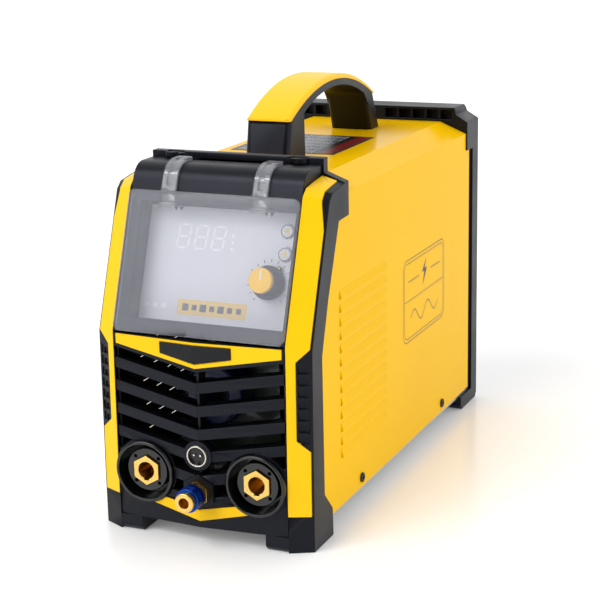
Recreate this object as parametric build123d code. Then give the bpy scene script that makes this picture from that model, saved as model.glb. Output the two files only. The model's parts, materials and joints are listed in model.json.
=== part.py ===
from build123d import *
from math import cos, radians, sin, tan
import os

# A portable TIG welding power source. Millimetres, +Z up, front towards -Y, feet on Z = 0.

# Overall sizes
CASE_WIDTH = 172.0
CASE_LENGTH = 400.0
COVER_TOP = 262.0
GAS_REACH = 28.0
FOOT_HEIGHT = 12.0
KINK_Z = 151.5
LEAN = 20.0

# Walls and gaps
WALL = 3.0
SHEET = 1.2
BOARD = 1.6
GAP = 0.3
RUNNING = 0.05
FAR = 400.0

# Front chamfer, from the flat cheek to the central panel: across, forward and up
CHAMFER_ACROSS = 17.2
CHAMFER_FORWARD = 8.7
CHAMFER_UP = 4.0
TRIM_PROUD = 0.6
TRIM_SEAT = 1.6
STRIP_EDGE = 1.6
STRIP_WAIST = 10.7
FOOT_INSIDE = 50.7
GRIP_TOP = 141.6
GRIP_PITCH = 8.7
GRIP_NOTCH = 6.3
GRIPS = 7

# Clear flap and the display recess behind it
FLAP_SLOPE = 100.6
FLAP_DEPTH = 4.2
FLAP_SKIN = 1.8
RECESS_DEPTH = 22.8
OVERLAY = 0.8
ARM_WIDTH = 11.5
ARM_X = 36.7
ARM_THICK = 2.2
ARM_CLEAR = 0.8
HINGE_PIN_R = 1.5
HOOD_ROUND = 16.0
HOOD_WALL = 2.5
RECESS_LOW = 7.0
RECESS_HIGH = 93.0
WINDOW_LEFT = -40.0
WINDOW_RIGHT = 9.0
WINDOW_LOW = 57.0
WINDOW_HIGH = 85.0
WINDOW_EASE = 0.2

# Controls
KNOB_R = 9.2
SKIRT_R = 12.5
SHAFT_R = 3.0
KNOB_FACE = -9.0
CAP_FACE = -5.2
POINTER = 3.0
KEY_R = 5.2
KEY_TRAVEL = 1.0
KEY_SWITCH_HALF = 3.1

# Output sockets, remote socket and gas coupler
SOCKET_X = 45.1
SOCKET_Z = 49.7
COLLAR_R = 23.7
CONTACT_ACROSS = 20.3
CONTACT_BORE_R = 6.5
CONTACT_BORE_LENGTH = 34.0
REMOTE_Z = 68.0
REMOTE_R = 8.0
COUPLER_Z = 40.0
COUPLER_R = 6.6
COUPLER_BORE_R = 4.0
COUPLER_STEM_R = 5.5
SLEEVE_R = 9.2
SLEEVE_TRAVEL = 2.5
LOCK_NUT = 5.0
COLLAR_LENGTH = 15.5
CONTACT_STEM_R = 8.5
KEYWAY_HALF = 2.0

# Grille slats
SLAT_PITCH = 17.7
SLAT_FACE = 8.0
SLAT_DROP = 12.4
SLAT_END_TOP = 135.3
SLATS = 6
BAND_TOP = 153.4
BAND_LOW = 146.0
BAND_TIP = 134.0
PLATE_HALF = 28.5

# Handle
HANDLE_HALF = 18.5
HANDLE_RISE = 57.0
HANDLE_LENGTH = 200.8
CAP_THICK = 4.2
HANDLE_BOLT_R = 3.0
LABEL_LENGTH = 90.0

# Louvres
LOUVRE_COUNT = 13
LOUVRE_PITCH = 10.2
LOUVRE_LOW = 53.0
LOUVRE_LENGTH = 96.0
LOUVRE_PROUD = 1.4
SCREW_R = 2.0
SCREW_HEAD_R = 3.8

# Rear fittings
FAN_SIZE = 92.0
FAN_DEPTH = 25.0
FAN_Z = 122.0
FAN_HUB_R = 17.5
BLADES = 7
SWITCH_X = -42.0
GLAND_X = 42.0
SERVICE_Z = 208.0
GLAND_BORE_R = 5.5
INLET_X = 60.0
INLET_R = 4.0
BARBS = 3
BARB_LENGTH = 4.0
BARB_DEPTH = 0.8
HOSE_R = 4.5
FAN_SCREW_R = 2.0
FAN_SHAFT_R = 2.0
SWITCH_HALF_WIDTH = 13.5
SWITCH_HALF_HEIGHT = 14.5
GLAND_STEM_R = 9.0

# Power stage
SINK_X = 40.0
SINK_PLATE = 6.0
FIN_PITCH = 9.0
FIN_THICK = 2.4
BOARD_Z = 140.0
TRANSFORMER_Y = 10.0
CORE_HALF_DEPTH = 16.0
CAN_R = 15.0
CAN_HEIGHT = 50.0
PLUNGER_R = 4.0

# Worked out from the sizes above
HALF = CASE_WIDTH / 2
FRONT = -CASE_LENGTH / 2
REAR = CASE_LENGTH / 2
COVER_HALF = HALF - 1.5
INNER = HALF - CHAMFER_ACROSS
PANEL_HALF = INNER - GAP
SLOPE = tan(radians(LEAN))
CHEEK_Y = FRONT + 11.2
LEAN_TOP_Z = COVER_TOP - 10.4
LEAN_TOP_Y = CHEEK_Y + (LEAN_TOP_Z - KINK_Z) * SLOPE
RIM_FRONT = LEAN_TOP_Y + 28.4
RIM_BACK = RIM_FRONT + 8.0
RIM_TOP = COVER_TOP + 15.0
HOOD_TOP = COVER_TOP + 10.5
PANEL_EDGE_Y = FRONT + 2.0
PANEL_NOSE_Y = FRONT - 3.0
PANEL_TOP = 154.0
FACE_Z = 160.4
FACE_Y = FRONT + 0.4
FACE = Plane(
    origin=(0, FACE_Y, FACE_Z),
    x_dir=(1, 0, 0),
    z_dir=(0, -cos(radians(LEAN)), sin(radians(LEAN))),
)
HOOD_FACE = -(FLAP_DEPTH + GAP)
HINGE_Y = RIM_FRONT - 11.5
HINGE_Z = HOOD_TOP - 6.5
KNOB_X = PANEL_HALF - 25.5
KNOB_S = 41.5
RECESS_LEFT = -PANEL_HALF + 9.3
RECESS_RIGHT = PANEL_HALF - 3.0
KEY_X = PANEL_HALF - 15.5
KEY_S = (63.0, 79.8)
BOARD_BACK = -36.0
SCREW_Z = 22.9
SCREW_Y = (FRONT + 107.6, REAR - 98.3)
PANEL_SHEET_BACK = REAR - 12.5
PANEL_SHEET_FRONT = PANEL_SHEET_BACK - 1.5
BOARD_FRONT = BOARD_BACK + BOARD
BEZEL_REAR_LOW = CHEEK_Y + 34.1
BEZEL_AHEAD = FRONT - 30.0
SOCKET_FACE_Y = PANEL_EDGE_Y - 1.7
COLLAR_BACK_Y = SOCKET_FACE_Y + COLLAR_LENGTH
COUPLER_FRONT = FRONT - GAS_REACH
COUPLER_SEAT = PANEL_NOSE_Y - 1.5
COUPLER_TAIL = FRONT + 28.0
HANDLE_FRONT = FRONT + 128.0
HANDLE_BACK = HANDLE_FRONT + HANDLE_LENGTH
SWITCH_PIVOT_Y = PANEL_SHEET_BACK - 4.0
VALVE_FRONT = REAR - 92.0
VALVE_BACK = REAR - 56.0
SINK_FRONT = FRONT + 110.0
SINK_BACK = REAR - 110.0
HF_BOARD_Y = FRONT + 62.0
FLOOR_TOP = FOOT_HEIGHT + SHEET


def slab(points, way):
    """A flat outline in space, pushed straight along a vector."""
    face = Face(Wire.make_polygon([Vector(*point) for point in points]))
    return extrude(face, Vector(*way).length, dir=way)


def along_x(outline, x0, x1):
    return slab([(x0, y, z) for y, z in outline], (x1 - x0, 0, 0))


def along_y(outline, y0, y1):
    return slab([(x, y0, z) for x, z in outline], (0, y1 - y0, 0))


def along_z(outline, z0, z1):
    return slab([(x, y, z0) for x, y in outline], (0, 0, z1 - z0))


def block(x0, x1, y0, y1, z0, z1):
    return Pos((x0 + x1) / 2, (y0 + y1) / 2, (z0 + z1) / 2) * Box(x1 - x0, y1 - y0, z1 - z0)


def rod_x(y, z, r, x0, x1):
    return Pos((x0 + x1) / 2, y, z) * Rot(0, 90, 0) * Cylinder(r, x1 - x0)


def rod_y(x, z, r, y0, y1):
    return Pos(x, (y0 + y1) / 2, z) * Rot(90, 0, 0) * Cylinder(r, y1 - y0)


def rod_z(x, y, r, z0, z1):
    return Pos(x, y, (z0 + z1) / 2) * Cylinder(r, z1 - z0)


def hex_y(x, z, across, y0, y1):
    """A hexagon bar along Y with a point upwards."""
    corner = across / 2 / cos(radians(30))
    outline = []
    for turn in range(90, 450, 60):
        outline.append((x + corner * cos(radians(turn)), z + corner * sin(radians(turn))))
    return along_y(outline, y0, y1)


def both_sides(shape):
    return shape + mirror(shape, about=Plane.YZ)


def left_of(shape):
    return mirror(shape, about=Plane.YZ)


def on_face(x, s, n, shape):
    """Places a shape on the leaning face: x across, s up the slope, n out from the flap's skin."""
    return FACE * Pos(x, s, n) * shape


def face_block(x0, x1, s0, s1, n0, n1):
    return on_face((x0 + x1) / 2, (s0 + s1) / 2, (n0 + n1) / 2, Box(x1 - x0, s1 - s0, n1 - n0))


def face_rod(x, s, r, n0, n1):
    return on_face(x, s, (n0 + n1) / 2, Cylinder(r, n1 - n0))


def face_point(s, n):
    """Y and Z of a point on the leaning face."""
    lean = radians(LEAN)
    return FACE_Y + s * sin(lean) - n * cos(lean), FACE_Z + s * cos(lean) + n * sin(lean)


# Case cover


def cover_outline(inset):
    """Half section of the sheet cover, from its foot edge over the shoulder to the middle."""
    side = COVER_HALF - inset
    shoulder_z = COVER_TOP - 10.0 - inset * 0.66
    crown_x = COVER_HALF - 23.8 - inset * 0.2
    return [
        (side, FOOT_HEIGHT + 3.0),
        (side, shoulder_z),
        (crown_x, COVER_TOP - inset),
        (-crown_x, COVER_TOP - inset),
        (-side, shoulder_z),
        (-side, FOOT_HEIGHT + 3.0),
    ]


def bezel_rear_edge(forward):
    """Side view of the front bezel's rear edge, top to bottom, moved forward by a lap."""
    return [
        (RIM_BACK - forward, COVER_TOP + 60),
        (RIM_BACK - forward, COVER_TOP - 27.0),
        (RIM_BACK - 19.1 - forward, COVER_TOP - 27.9),
        (CHEEK_Y + 31.4 - forward, KINK_Z + 29.7),
        (CHEEK_Y + 18.4 - forward, KINK_Z - 8.9),
        (CHEEK_Y + 19.0 - forward, 37.2),
        (CHEEK_Y + 33.5 - forward, 21.9),
        (BEZEL_REAR_LOW - forward, -1.0),
    ]


def cover_envelope():
    """The space the closed sheet cover takes, solid through."""
    section = along_y(cover_outline(0), FRONT, REAR - 22.0)
    return section & along_x(bezel_rear_edge(6.0) + [(FAR, -1.0), (FAR, COVER_TOP + 60)], -HALF, HALF)


def louvre_levels():
    return [LOUVRE_LOW + LOUVRE_PITCH * number for number in range(LOUVRE_COUNT)]


def make_top_cover():
    cover = cover_envelope() - along_y(cover_outline(SHEET), FRONT - 1, REAR + 1)
    y0 = FRONT + 67.0
    y1 = y0 + LOUVRE_LENGTH
    for z in louvre_levels():
        lip = COVER_HALF + LOUVRE_PROUD
        hood = [
            (COVER_HALF - SHEET, z + 7.2),
            (COVER_HALF, z + 7.2),
            (lip, z + 1.0),
            (lip, z),
            (lip - SHEET, z),
        ]
        slit = block(COVER_HALF - 4, COVER_HALF + 4, y0, y1, z, z + 4.6)
        cover -= both_sides(slit)
        cover += both_sides(along_y(hood, y0, y1))
    for y in SCREW_Y:
        cover -= rod_x(y, SCREW_Z, SCREW_R + 0.1, -HALF, HALF)
    for y in handle_bolt_places():
        cover -= rod_z(0, y, HANDLE_BOLT_R, COVER_TOP - 5, COVER_TOP + 5)
    return cover


def make_cover_screws():
    screws = Part()
    for y in SCREW_Y:
        screw = rod_x(y, SCREW_Z, SCREW_HEAD_R, COVER_HALF, HALF)
        screw -= rod_x(y, SCREW_Z, 1.6, COVER_HALF + 0.7, HALF + 1)
        screw += rod_x(y, SCREW_Z, SCREW_R, COVER_HALF - 8, COVER_HALF + 0.1)
        screws += both_sides(screw)
    return screws


def make_base_plate():
    y0 = BEZEL_REAR_LOW
    y1 = PANEL_SHEET_FRONT
    edge = COVER_HALF - SHEET
    plate = block(-edge, edge, y0, y1, FOOT_HEIGHT, FLOOR_TOP)
    flange = block(edge - SHEET, edge, y0, y1 - 12, FOOT_HEIGHT, SCREW_Z + 6)
    plate += both_sides(flange)
    for y in SCREW_Y:
        plate -= rod_x(y, SCREW_Z, SCREW_R, -HALF, HALF)
    for x in (-50, -30, -10, 10, 30, 50):
        plate -= block(x - 3, x + 3, REAR - 95, REAR - 50, FOOT_HEIGHT - 1, FOOT_HEIGHT + 5)
    return plate


# Front bezel and its yellow strips


def cheek(moved):
    """Solid behind the chamfered right cheek, with its skin moved in (or out when negative)."""
    outline = [
        (FRONT + 9.7, -20.0),
        (FRONT + 9.7, 41.0),
        (CHEEK_Y, KINK_Z),
        (LEAN_TOP_Y, LEAN_TOP_Z),
        (LEAN_TOP_Y + 6.0, COVER_TOP - 5.4),
        (RIM_FRONT - 8.0, COVER_TOP - 3.2),
        (RIM_BACK, COVER_TOP - 1.5),
        (RIM_BACK + 40, COVER_TOP - 1.5),
        (RIM_BACK + 40, -20.0),
    ]
    points = [(HALF, y + moved, z - moved) for y, z in outline]
    return slab(points, (-CHAMFER_ACROSS, -CHAMFER_FORWARD, CHAMFER_UP))


def trim_outline():
    """Front view of a side strip, which steps in round the grip block."""
    return [
        (INNER + 0.4, 28.3),
        (HALF - STRIP_EDGE, 27.8),
        (HALF - STRIP_EDGE, 77.0),
        (HALF - STRIP_WAIST, 85.4),
        (HALF - STRIP_WAIST, 143.7),
        (HALF - STRIP_EDGE, 152.5),
        (HALF - STRIP_EDGE, COVER_TOP - 30.0),
        (HALF - 4.6, COVER_TOP - 12.0),
        (HALF - 5.8, COVER_TOP + 6.0),
        (INNER + 0.4, COVER_TOP + 6.0),
    ]


def make_right_trim():
    front = cheek(-TRIM_PROUD) & along_y(trim_outline(), BEZEL_AHEAD, RIM_FRONT - 1.0)
    return front - cheek(TRIM_SEAT)


def make_front_bezel(trim):
    rear_edge = bezel_rear_edge(0)
    ahead = along_x(rear_edge + [(BEZEL_AHEAD, -1.0), (BEZEL_AHEAD, COVER_TOP + 60)], -HALF, HALF)
    side = cheek(0) & ahead
    hollow = cheek(WALL) & block(INNER + 2.5, HALF - WALL, BEZEL_AHEAD, FAR, FOOT_HEIGHT + 2, FAR)
    side -= hollow
    foot = along_x(
        [(PANEL_EDGE_Y - 1.0, 3.0), (PANEL_EDGE_Y + 2.0, 0), (BEZEL_REAR_LOW, 0),
         (BEZEL_REAR_LOW, FOOT_HEIGHT), (PANEL_EDGE_Y - 1.0, FOOT_HEIGHT)],
        FOOT_INSIDE, INNER,
    )
    side += foot
    side -= block(0, HALF + 1, BEZEL_AHEAD, FAR, -30, 0)
    side += make_rim_half()
    pocket = [(SOCKET_X - 6, RIM_FRONT - 3), (SOCKET_X + 12, RIM_FRONT - 3), (SOCKET_X + 12, RIM_FRONT + 4),
              (SOCKET_X, RIM_FRONT + 4)]
    side -= along_z(pocket, RIM_TOP - 1.2, RIM_TOP + 5)
    notch_in = HALF - STRIP_WAIST + 1.3
    for number in range(GRIPS):
        top = GRIP_TOP - GRIP_PITCH * number
        low = top - GRIP_NOTCH
        outer = [(notch_in, top), (HALF - 2.2, top), (HALF - 2.2, low), (notch_in, low)]
        step = [(notch_in, top - 2), (HALF - 5, top - 2), (HALF - 5, low), (notch_in, low)]
        side -= along_y(outer, BEZEL_AHEAD, FRONT + 40) - cheek(0.9)
        side -= along_y(step, BEZEL_AHEAD, FRONT + 40) - cheek(1.9)
    side -= trim
    side -= cover_envelope()
    bezel = side + left_of(side)
    bezel += block(-FOOT_INSIDE - 1, FOOT_INSIDE + 1, PANEL_EDGE_Y + 9, BEZEL_REAR_LOW,
                   FOOT_HEIGHT - 2, FOOT_HEIGHT)
    return bezel


def make_rim_half():
    """The raised rim across the top, with a round screw boss in front of it."""
    outline = [
        (0, RIM_TOP),
        (INNER + 1.2, RIM_TOP),
        (INNER + 1.2, COVER_TOP + 4.7),
        (HALF, COVER_TOP - 1.5),
        (HALF, COVER_TOP - 20),
        (INNER - 10, COVER_TOP - 8),
        (0, COVER_TOP - 8),
    ]
    rim = along_y(outline, RIM_FRONT, RIM_BACK)
    boss = rod_z(SOCKET_X + 6.4, RIM_FRONT, 6.5, HOOD_TOP + GAP, RIM_TOP)
    return rim + boss


# Display hood, a leaning face with a deep recess


def hood_face_y(z, inset):
    lean = radians(LEAN)
    return FACE_Y + (z - FACE_Z) * SLOPE - (HOOD_FACE - inset) / cos(lean)


def make_display_hood():
    bottom = PANEL_TOP + 1.0
    corner = (hood_face_y(HOOD_TOP, 0), HOOD_TOP)
    outline = [
        (hood_face_y(bottom, 0), bottom),
        corner,
        (RIM_FRONT, HOOD_TOP),
        (RIM_FRONT, COVER_TOP + 0.2),
        (hood_face_y(COVER_TOP, 16), COVER_TOP + 0.2),
        (hood_face_y(bottom, 16), bottom),
    ]
    shell = along_x(outline, -PANEL_HALF, PANEL_HALF)
    long_edges = shell.edges().filter_by(Axis.X)
    nose = long_edges.sort_by(lambda edge: (edge.center() - Vector(0, *corner)).length)[0]
    shell = fillet([nose], HOOD_ROUND)
    inner = [
        (hood_face_y(bottom - 5, HOOD_WALL), bottom - 5),
        (hood_face_y(HOOD_TOP - 13, HOOD_WALL), HOOD_TOP - 13),
        (hood_face_y(HOOD_TOP - HOOD_WALL, 11), HOOD_TOP - HOOD_WALL),
        (RIM_FRONT + 5, HOOD_TOP - HOOD_WALL),
        (RIM_FRONT + 5, bottom - 5),
    ]
    shell -= along_x(inner, -PANEL_HALF + HOOD_WALL, PANEL_HALF - HOOD_WALL)
    left, right = RECESS_LEFT, RECESS_RIGHT
    tub_back = -RECESS_DEPTH - HOOD_WALL
    tub = face_block(left - HOOD_WALL, right + HOOD_WALL, RECESS_LOW - HOOD_WALL, RECESS_HIGH + HOOD_WALL,
                     tub_back, HOOD_FACE)
    shell += tub - face_block(-FAR, FAR, -FAR, FAR, HOOD_FACE, FAR)
    shell -= face_block(left, right, RECESS_LOW, RECESS_HIGH, -RECESS_DEPTH, 1.0)
    shell -= face_block(WINDOW_LEFT, WINDOW_RIGHT, WINDOW_LOW, WINDOW_HIGH, -RECESS_DEPTH - 4,
                        -RECESS_DEPTH + 1)
    shell -= face_rod(KNOB_X, KNOB_S, 4.5, -RECESS_DEPTH - 4, -RECESS_DEPTH + 1)
    for s in KEY_S:
        shell -= face_rod(KEY_X, s, KEY_R + GAP, -RECESS_DEPTH - 4, -RECESS_DEPTH + 1)
    for x in (left + 6, right - 4):
        for s in (12, 90):
            shell += face_rod(x, s, 2.5, BOARD_FRONT, tub_back)
    slot_front = HINGE_Y - 4.3
    for sign in (-1, 1):
        x0 = sign * ARM_X - ARM_WIDTH / 2
        x1 = sign * ARM_X + ARM_WIDTH / 2
        shell -= block(x0 - ARM_CLEAR, x1 + ARM_CLEAR, slot_front, RIM_FRONT - 0.6,
                       COVER_TOP - 1, HOOD_TOP + 1)
        lug = block(x0 - 4.8, x0 - ARM_CLEAR, HINGE_Y - 4, HINGE_Y + 4, COVER_TOP + 0.2, HOOD_TOP - 1)
        shell += lug + Pos(ARM_WIDTH + 5.6, 0, 0) * lug
    shell -= hinge_pin_rods()
    return shell


def hinge_pin_rods():
    reach = ARM_WIDTH / 2 + 4.0
    pins = rod_x(HINGE_Y, HINGE_Z, HINGE_PIN_R, ARM_X - reach, ARM_X + reach)
    return both_sides(pins)


def make_clear_cover():
    """A shallow clear tray with two arms that reach over the hood to the hinge pins."""
    half = PANEL_HALF - 0.2
    outline = Polygon((-half, 0), (-half + 3.6, -4.2), (half - 3.6, -4.2), (half, 0), (half, FLAP_SLOPE),
                      (-half, FLAP_SLOPE))
    outline = fillet(outline.vertices().group_by(Axis.Y)[-1], 5)
    tray = FACE * extrude(outline, -FLAP_DEPTH)
    well = offset(outline, -FLAP_SKIN)
    tray -= FACE * Pos(0, 0, -FLAP_DEPTH) * extrude(well, FLAP_DEPTH - FLAP_SKIN)
    nub = face_block(-7, 7, -4.0, 2.0, -0.5, 0.9)
    arm = make_arm()
    return tray + nub + arm + left_of(arm)


def make_arm():
    """One hinge arm: up the face, round the hood's nose, back along its top and down to the pin."""
    lean = radians(LEAN)
    nose_y, nose_z = hood_face_y(HOOD_TOP, 0), HOOD_TOP
    back = HOOD_ROUND * tan(radians(45) - lean / 2)
    centre = Vector(nose_y + back, nose_z - HOOD_ROUND)
    normal = Vector(-cos(lean), sin(lean))
    inner_r = HOOD_ROUND + ARM_CLEAR
    outer_r = inner_r + ARM_THICK
    middle = Vector(-cos((lean + radians(90)) / 2), sin((lean + radians(90)) / 2))
    foot_in = Vector(*face_point(FLAP_SLOPE - 12, HOOD_FACE + ARM_CLEAR))
    foot_out = Vector(*face_point(FLAP_SLOPE - 12, HOOD_FACE + ARM_CLEAR + ARM_THICK + FLAP_SKIN))
    drop_in = HINGE_Y - 2.6
    drop_out = HINGE_Y + 1.6
    path = Polyline(foot_in, centre + normal * inner_r)
    path += ThreePointArc(centre + normal * inner_r, centre + middle * inner_r, centre + Vector(0, inner_r))
    path += Polyline(centre + Vector(0, inner_r), (drop_in, HOOD_TOP + ARM_CLEAR), (drop_in, HINGE_Z),
                     (drop_out, HINGE_Z), (drop_out, HOOD_TOP + ARM_CLEAR + ARM_THICK),
                     centre + Vector(0, outer_r))
    path += ThreePointArc(centre + Vector(0, outer_r), centre + middle * outer_r, centre + normal * outer_r)
    path += Polyline(centre + normal * outer_r, foot_out, foot_in)
    face = Plane.YZ.offset(ARM_X - ARM_WIDTH / 2) * make_face(path)
    arm = extrude(face, ARM_WIDTH, dir=(1, 0, 0))
    arm += rod_x(HINGE_Y, HINGE_Z, 3.6, ARM_X - ARM_WIDTH / 2, ARM_X + ARM_WIDTH / 2)
    groove = rod_x(centre.X, centre.Y, outer_r + 2, ARM_X - 2, ARM_X + 2)
    groove -= rod_x(centre.X, centre.Y, outer_r - 1.2, ARM_X - 3, ARM_X + 3)
    groove &= block(0, HALF, BEZEL_AHEAD, HINGE_Y - 6, HOOD_TOP - 14, FAR)
    arm -= groove
    return arm - rod_x(HINGE_Y, HINGE_Z, HINGE_PIN_R + RUNNING, 0, HALF)


# Display pieces


def make_display_overlay():
    sheet = face_block(RECESS_LEFT, RECESS_RIGHT, RECESS_LOW, RECESS_HIGH, -RECESS_DEPTH,
                       -RECESS_DEPTH + OVERLAY)
    sheet -= face_rod(KNOB_X, KNOB_S, 4.6, -FAR, FAR)
    for s in KEY_S:
        sheet -= face_rod(KEY_X, s, KEY_R + GAP, -FAR, FAR)
    return sheet


def make_display_module():
    return face_block(WINDOW_LEFT + WINDOW_EASE, WINDOW_RIGHT - WINDOW_EASE, WINDOW_LOW + WINDOW_EASE,
                      WINDOW_HIGH - WINDOW_EASE, BOARD_FRONT, -RECESS_DEPTH)


def make_control_board():
    return face_block(RECESS_LEFT + 1, RECESS_RIGHT - 1, RECESS_LOW + 2, RECESS_HIGH,
                      BOARD_BACK, BOARD_FRONT)


def make_encoder_body():
    top = -RECESS_DEPTH - HOOD_WALL
    body = face_block(KNOB_X - 7, KNOB_X + 7, KNOB_S - 7, KNOB_S + 7, BOARD_FRONT, top)
    body += face_rod(KNOB_X, KNOB_S, 4.5, top - 1, -RECESS_DEPTH + OVERLAY + 0.4)
    return body - face_rod(KNOB_X, KNOB_S, SHAFT_R + RUNNING, BOARD_BACK + 3, 0)


def make_encoder_shaft():
    return face_rod(KNOB_X, KNOB_S, SHAFT_R, BOARD_BACK + 3.4, KNOB_FACE - 1)


def make_knob():
    seat = -RECESS_DEPTH + OVERLAY + 0.9
    knob = face_rod(KNOB_X, KNOB_S, SKIRT_R, seat, seat + 2.8)
    knob += face_rod(KNOB_X, KNOB_S, KNOB_R, seat + 2.8, KNOB_FACE)
    tab = Rot(0, 0, -35) * Pos(0, SKIRT_R + 0.5, 0) * Box(POINTER, POINTER, 2)
    pointer = on_face(KNOB_X, KNOB_S, seat + 1.0, tab)
    return knob + pointer - face_rod(KNOB_X, KNOB_S, SHAFT_R, -FAR, KNOB_FACE - 1)


def make_knob_cap():
    cap = face_rod(KNOB_X, KNOB_S, KNOB_R, KNOB_FACE, CAP_FACE)
    outer = cap.edges().filter_by(GeomType.CIRCLE).sort_by(Axis.Y)[:1]
    return fillet(outer, 0.8)


def make_key(s):
    front = -RECESS_DEPTH + OVERLAY + 1.8
    key = face_rod(KEY_X, s, KEY_R, -RECESS_DEPTH - 3.5, front)
    key += face_rod(KEY_X, s, KEY_R + 1.1, -RECESS_DEPTH - 4.5, -RECESS_DEPTH - HOOD_WALL - GAP)
    return key + face_rod(KEY_X, s, 1.8, BOARD_FRONT + 3.0 + KEY_TRAVEL, -RECESS_DEPTH - 4.0)


def make_key_switches():
    switches = Part()
    for s in KEY_S:
        half = KEY_SWITCH_HALF
        switches += face_block(KEY_X - half, KEY_X + half, s - half, s + half,
                               BOARD_FRONT, BOARD_FRONT + 2.7)
    return switches


# Lower front panel


def prow(front, back):
    """A plate that follows the panel's shallow centre ridge, between two depths."""
    outline = [
        (-PANEL_HALF, PANEL_EDGE_Y + front),
        (0, PANEL_NOSE_Y + front),
        (PANEL_HALF, PANEL_EDGE_Y + front),
        (PANEL_HALF, PANEL_EDGE_Y + back),
        (0, PANEL_NOSE_Y + back),
        (-PANEL_HALF, PANEL_EDGE_Y + back),
    ]
    return along_z(outline, 0, PANEL_TOP)


def chevron(end_top, end_low, centre_top, centre_low, half):
    """A V band in front view, given its heights at the ends and in the middle."""
    outline = [
        (-half, end_top),
        (0, centre_top),
        (half, end_top),
        (half, end_low),
        (0, centre_low),
        (-half, end_low),
    ]
    return along_y(outline, BEZEL_AHEAD, FRONT + 60)


def upper_trim_shape():
    return chevron(BAND_TOP, BAND_LOW, BAND_TOP, BAND_TIP, PANEL_HALF - 2.0)


def lower_trim_shape():
    band = along_y([(0, 17.2), (41.0, 26.4), (29.5, 31.6), (0, 26.2), (-29.5, 31.6), (-41.0, 26.4)],
                   BEZEL_AHEAD, FRONT + 60)
    for x in (-SOCKET_X, SOCKET_X):
        band -= rod_y(x, SOCKET_Z, COLLAR_R + 0.6, FRONT - 40, FRONT + 70)
    return band


def make_front_grille():
    panel = chevron(PANEL_TOP, BAND_LOW - 2.7, PANEL_TOP, BAND_TIP - 2.8, PANEL_HALF) & prow(0, 5)
    panel += chevron(40, FOOT_HEIGHT, 29, FOOT_HEIGHT, PANEL_HALF) & prow(0, 5)
    edge = block(PANEL_HALF - 2, PANEL_HALF, BEZEL_AHEAD, FRONT + 60, FOOT_HEIGHT, PANEL_TOP - 2)
    panel += both_sides(edge) & prow(3, 16)
    panel += block(-1, 1, BEZEL_AHEAD, FRONT + 60, FOOT_HEIGHT + 2, PANEL_TOP - 12) & prow(4, 15)
    for number in range(SLATS):
        top = SLAT_END_TOP - SLAT_PITCH * number
        tall = chevron(top, top - SLAT_FACE, top - SLAT_DROP, top - SLAT_DROP - SLAT_FACE, PANEL_HALF - 0.5)
        thin = chevron(top - 1, top - 3.4, top - SLAT_DROP - 1, top - SLAT_DROP - 3.4, PANEL_HALF - 0.5)
        panel += tall & prow(0, 3.5)
        panel += thin & prow(3, 15)
    across = block(-PANEL_HALF, PANEL_HALF, BEZEL_AHEAD, FRONT + 60, 0, PANEL_TOP)
    for x in (-SOCKET_X, SOCKET_X):
        panel -= rod_y(x, SOCKET_Z, COLLAR_R + 0.5, BEZEL_AHEAD, SOCKET_FACE_Y)
        panel += rod_y(x, SOCKET_Z, COLLAR_R + 1.3, SOCKET_FACE_Y, SOCKET_FACE_Y + 6) & across
        panel -= rod_y(x, SOCKET_Z, COLLAR_R - 0.9, SOCKET_FACE_Y - 1, FRONT + 60)
    panel += rod_y(0, REMOTE_Z, REMOTE_R + 3.3, PANEL_NOSE_Y - 1, PANEL_NOSE_Y + 8)
    panel += hex_y(0, COUPLER_Z, 24, PANEL_NOSE_Y - 1.5, PANEL_NOSE_Y + 8)
    panel -= rod_y(0, REMOTE_Z, REMOTE_R + 4, PANEL_NOSE_Y + 8, FRONT + 60)
    panel -= rod_y(0, COUPLER_Z, REMOTE_R + 3, PANEL_NOSE_Y + 8, FRONT + 60)
    panel -= rod_y(0, REMOTE_Z, REMOTE_R - 0.2, BEZEL_AHEAD, FRONT + 60)
    panel -= rod_y(0, COUPLER_Z, COUPLER_STEM_R, BEZEL_AHEAD, FRONT + 60)
    panel -= upper_trim_shape() & prow(-5, TRIM_SEAT)
    panel -= lower_trim_shape() & prow(-5, TRIM_SEAT)
    return panel


def make_upper_trim():
    return (upper_trim_shape() & prow(-TRIM_PROUD, TRIM_SEAT)) - name_plate_shape()


def make_lower_trim():
    return lower_trim_shape() & prow(-TRIM_PROUD, TRIM_SEAT)


def name_plate_shape():
    top = BAND_TOP - 1.9
    low = BAND_LOW - 3.0
    plate = along_y([(-PLATE_HALF, top), (PLATE_HALF, top), (PLATE_HALF, low), (0, BAND_TIP + 3.5),
                     (-PLATE_HALF, low)], BEZEL_AHEAD, FRONT + 60)
    return plate & prow(-TRIM_PROUD - 1.0, 0)


# Output sockets


def make_right_collar():
    x, z = SOCKET_X, SOCKET_Z
    front = SOCKET_FACE_Y - 4.0
    collar = rod_y(x, z, COLLAR_R, front, SOCKET_FACE_Y)
    collar = fillet(collar.edges().sort_by(Axis.Y)[:1], 1.2)
    collar += rod_y(x, z, COLLAR_R - 0.9, SOCKET_FACE_Y, COLLAR_BACK_Y)
    collar -= rod_y(x, z, COLLAR_R - 2.5, front - 1, COLLAR_BACK_Y - 2)
    island = rod_y(x, z, COLLAR_R - 7.2, SOCKET_FACE_Y + 1.4, COLLAR_BACK_Y - 2)
    for turn in (45, 135, 225, 315):
        island -= rod_y(x + 13.6 * cos(radians(turn)), z + 13.6 * sin(radians(turn)), 1.2,
                        front, SOCKET_FACE_Y + 8)
    collar += island
    collar -= hex_y(x, z, CONTACT_ACROSS, front, SOCKET_FACE_Y + 12)
    return collar - rod_y(x, z, CONTACT_STEM_R, front, COLLAR_BACK_Y + 1)


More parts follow.
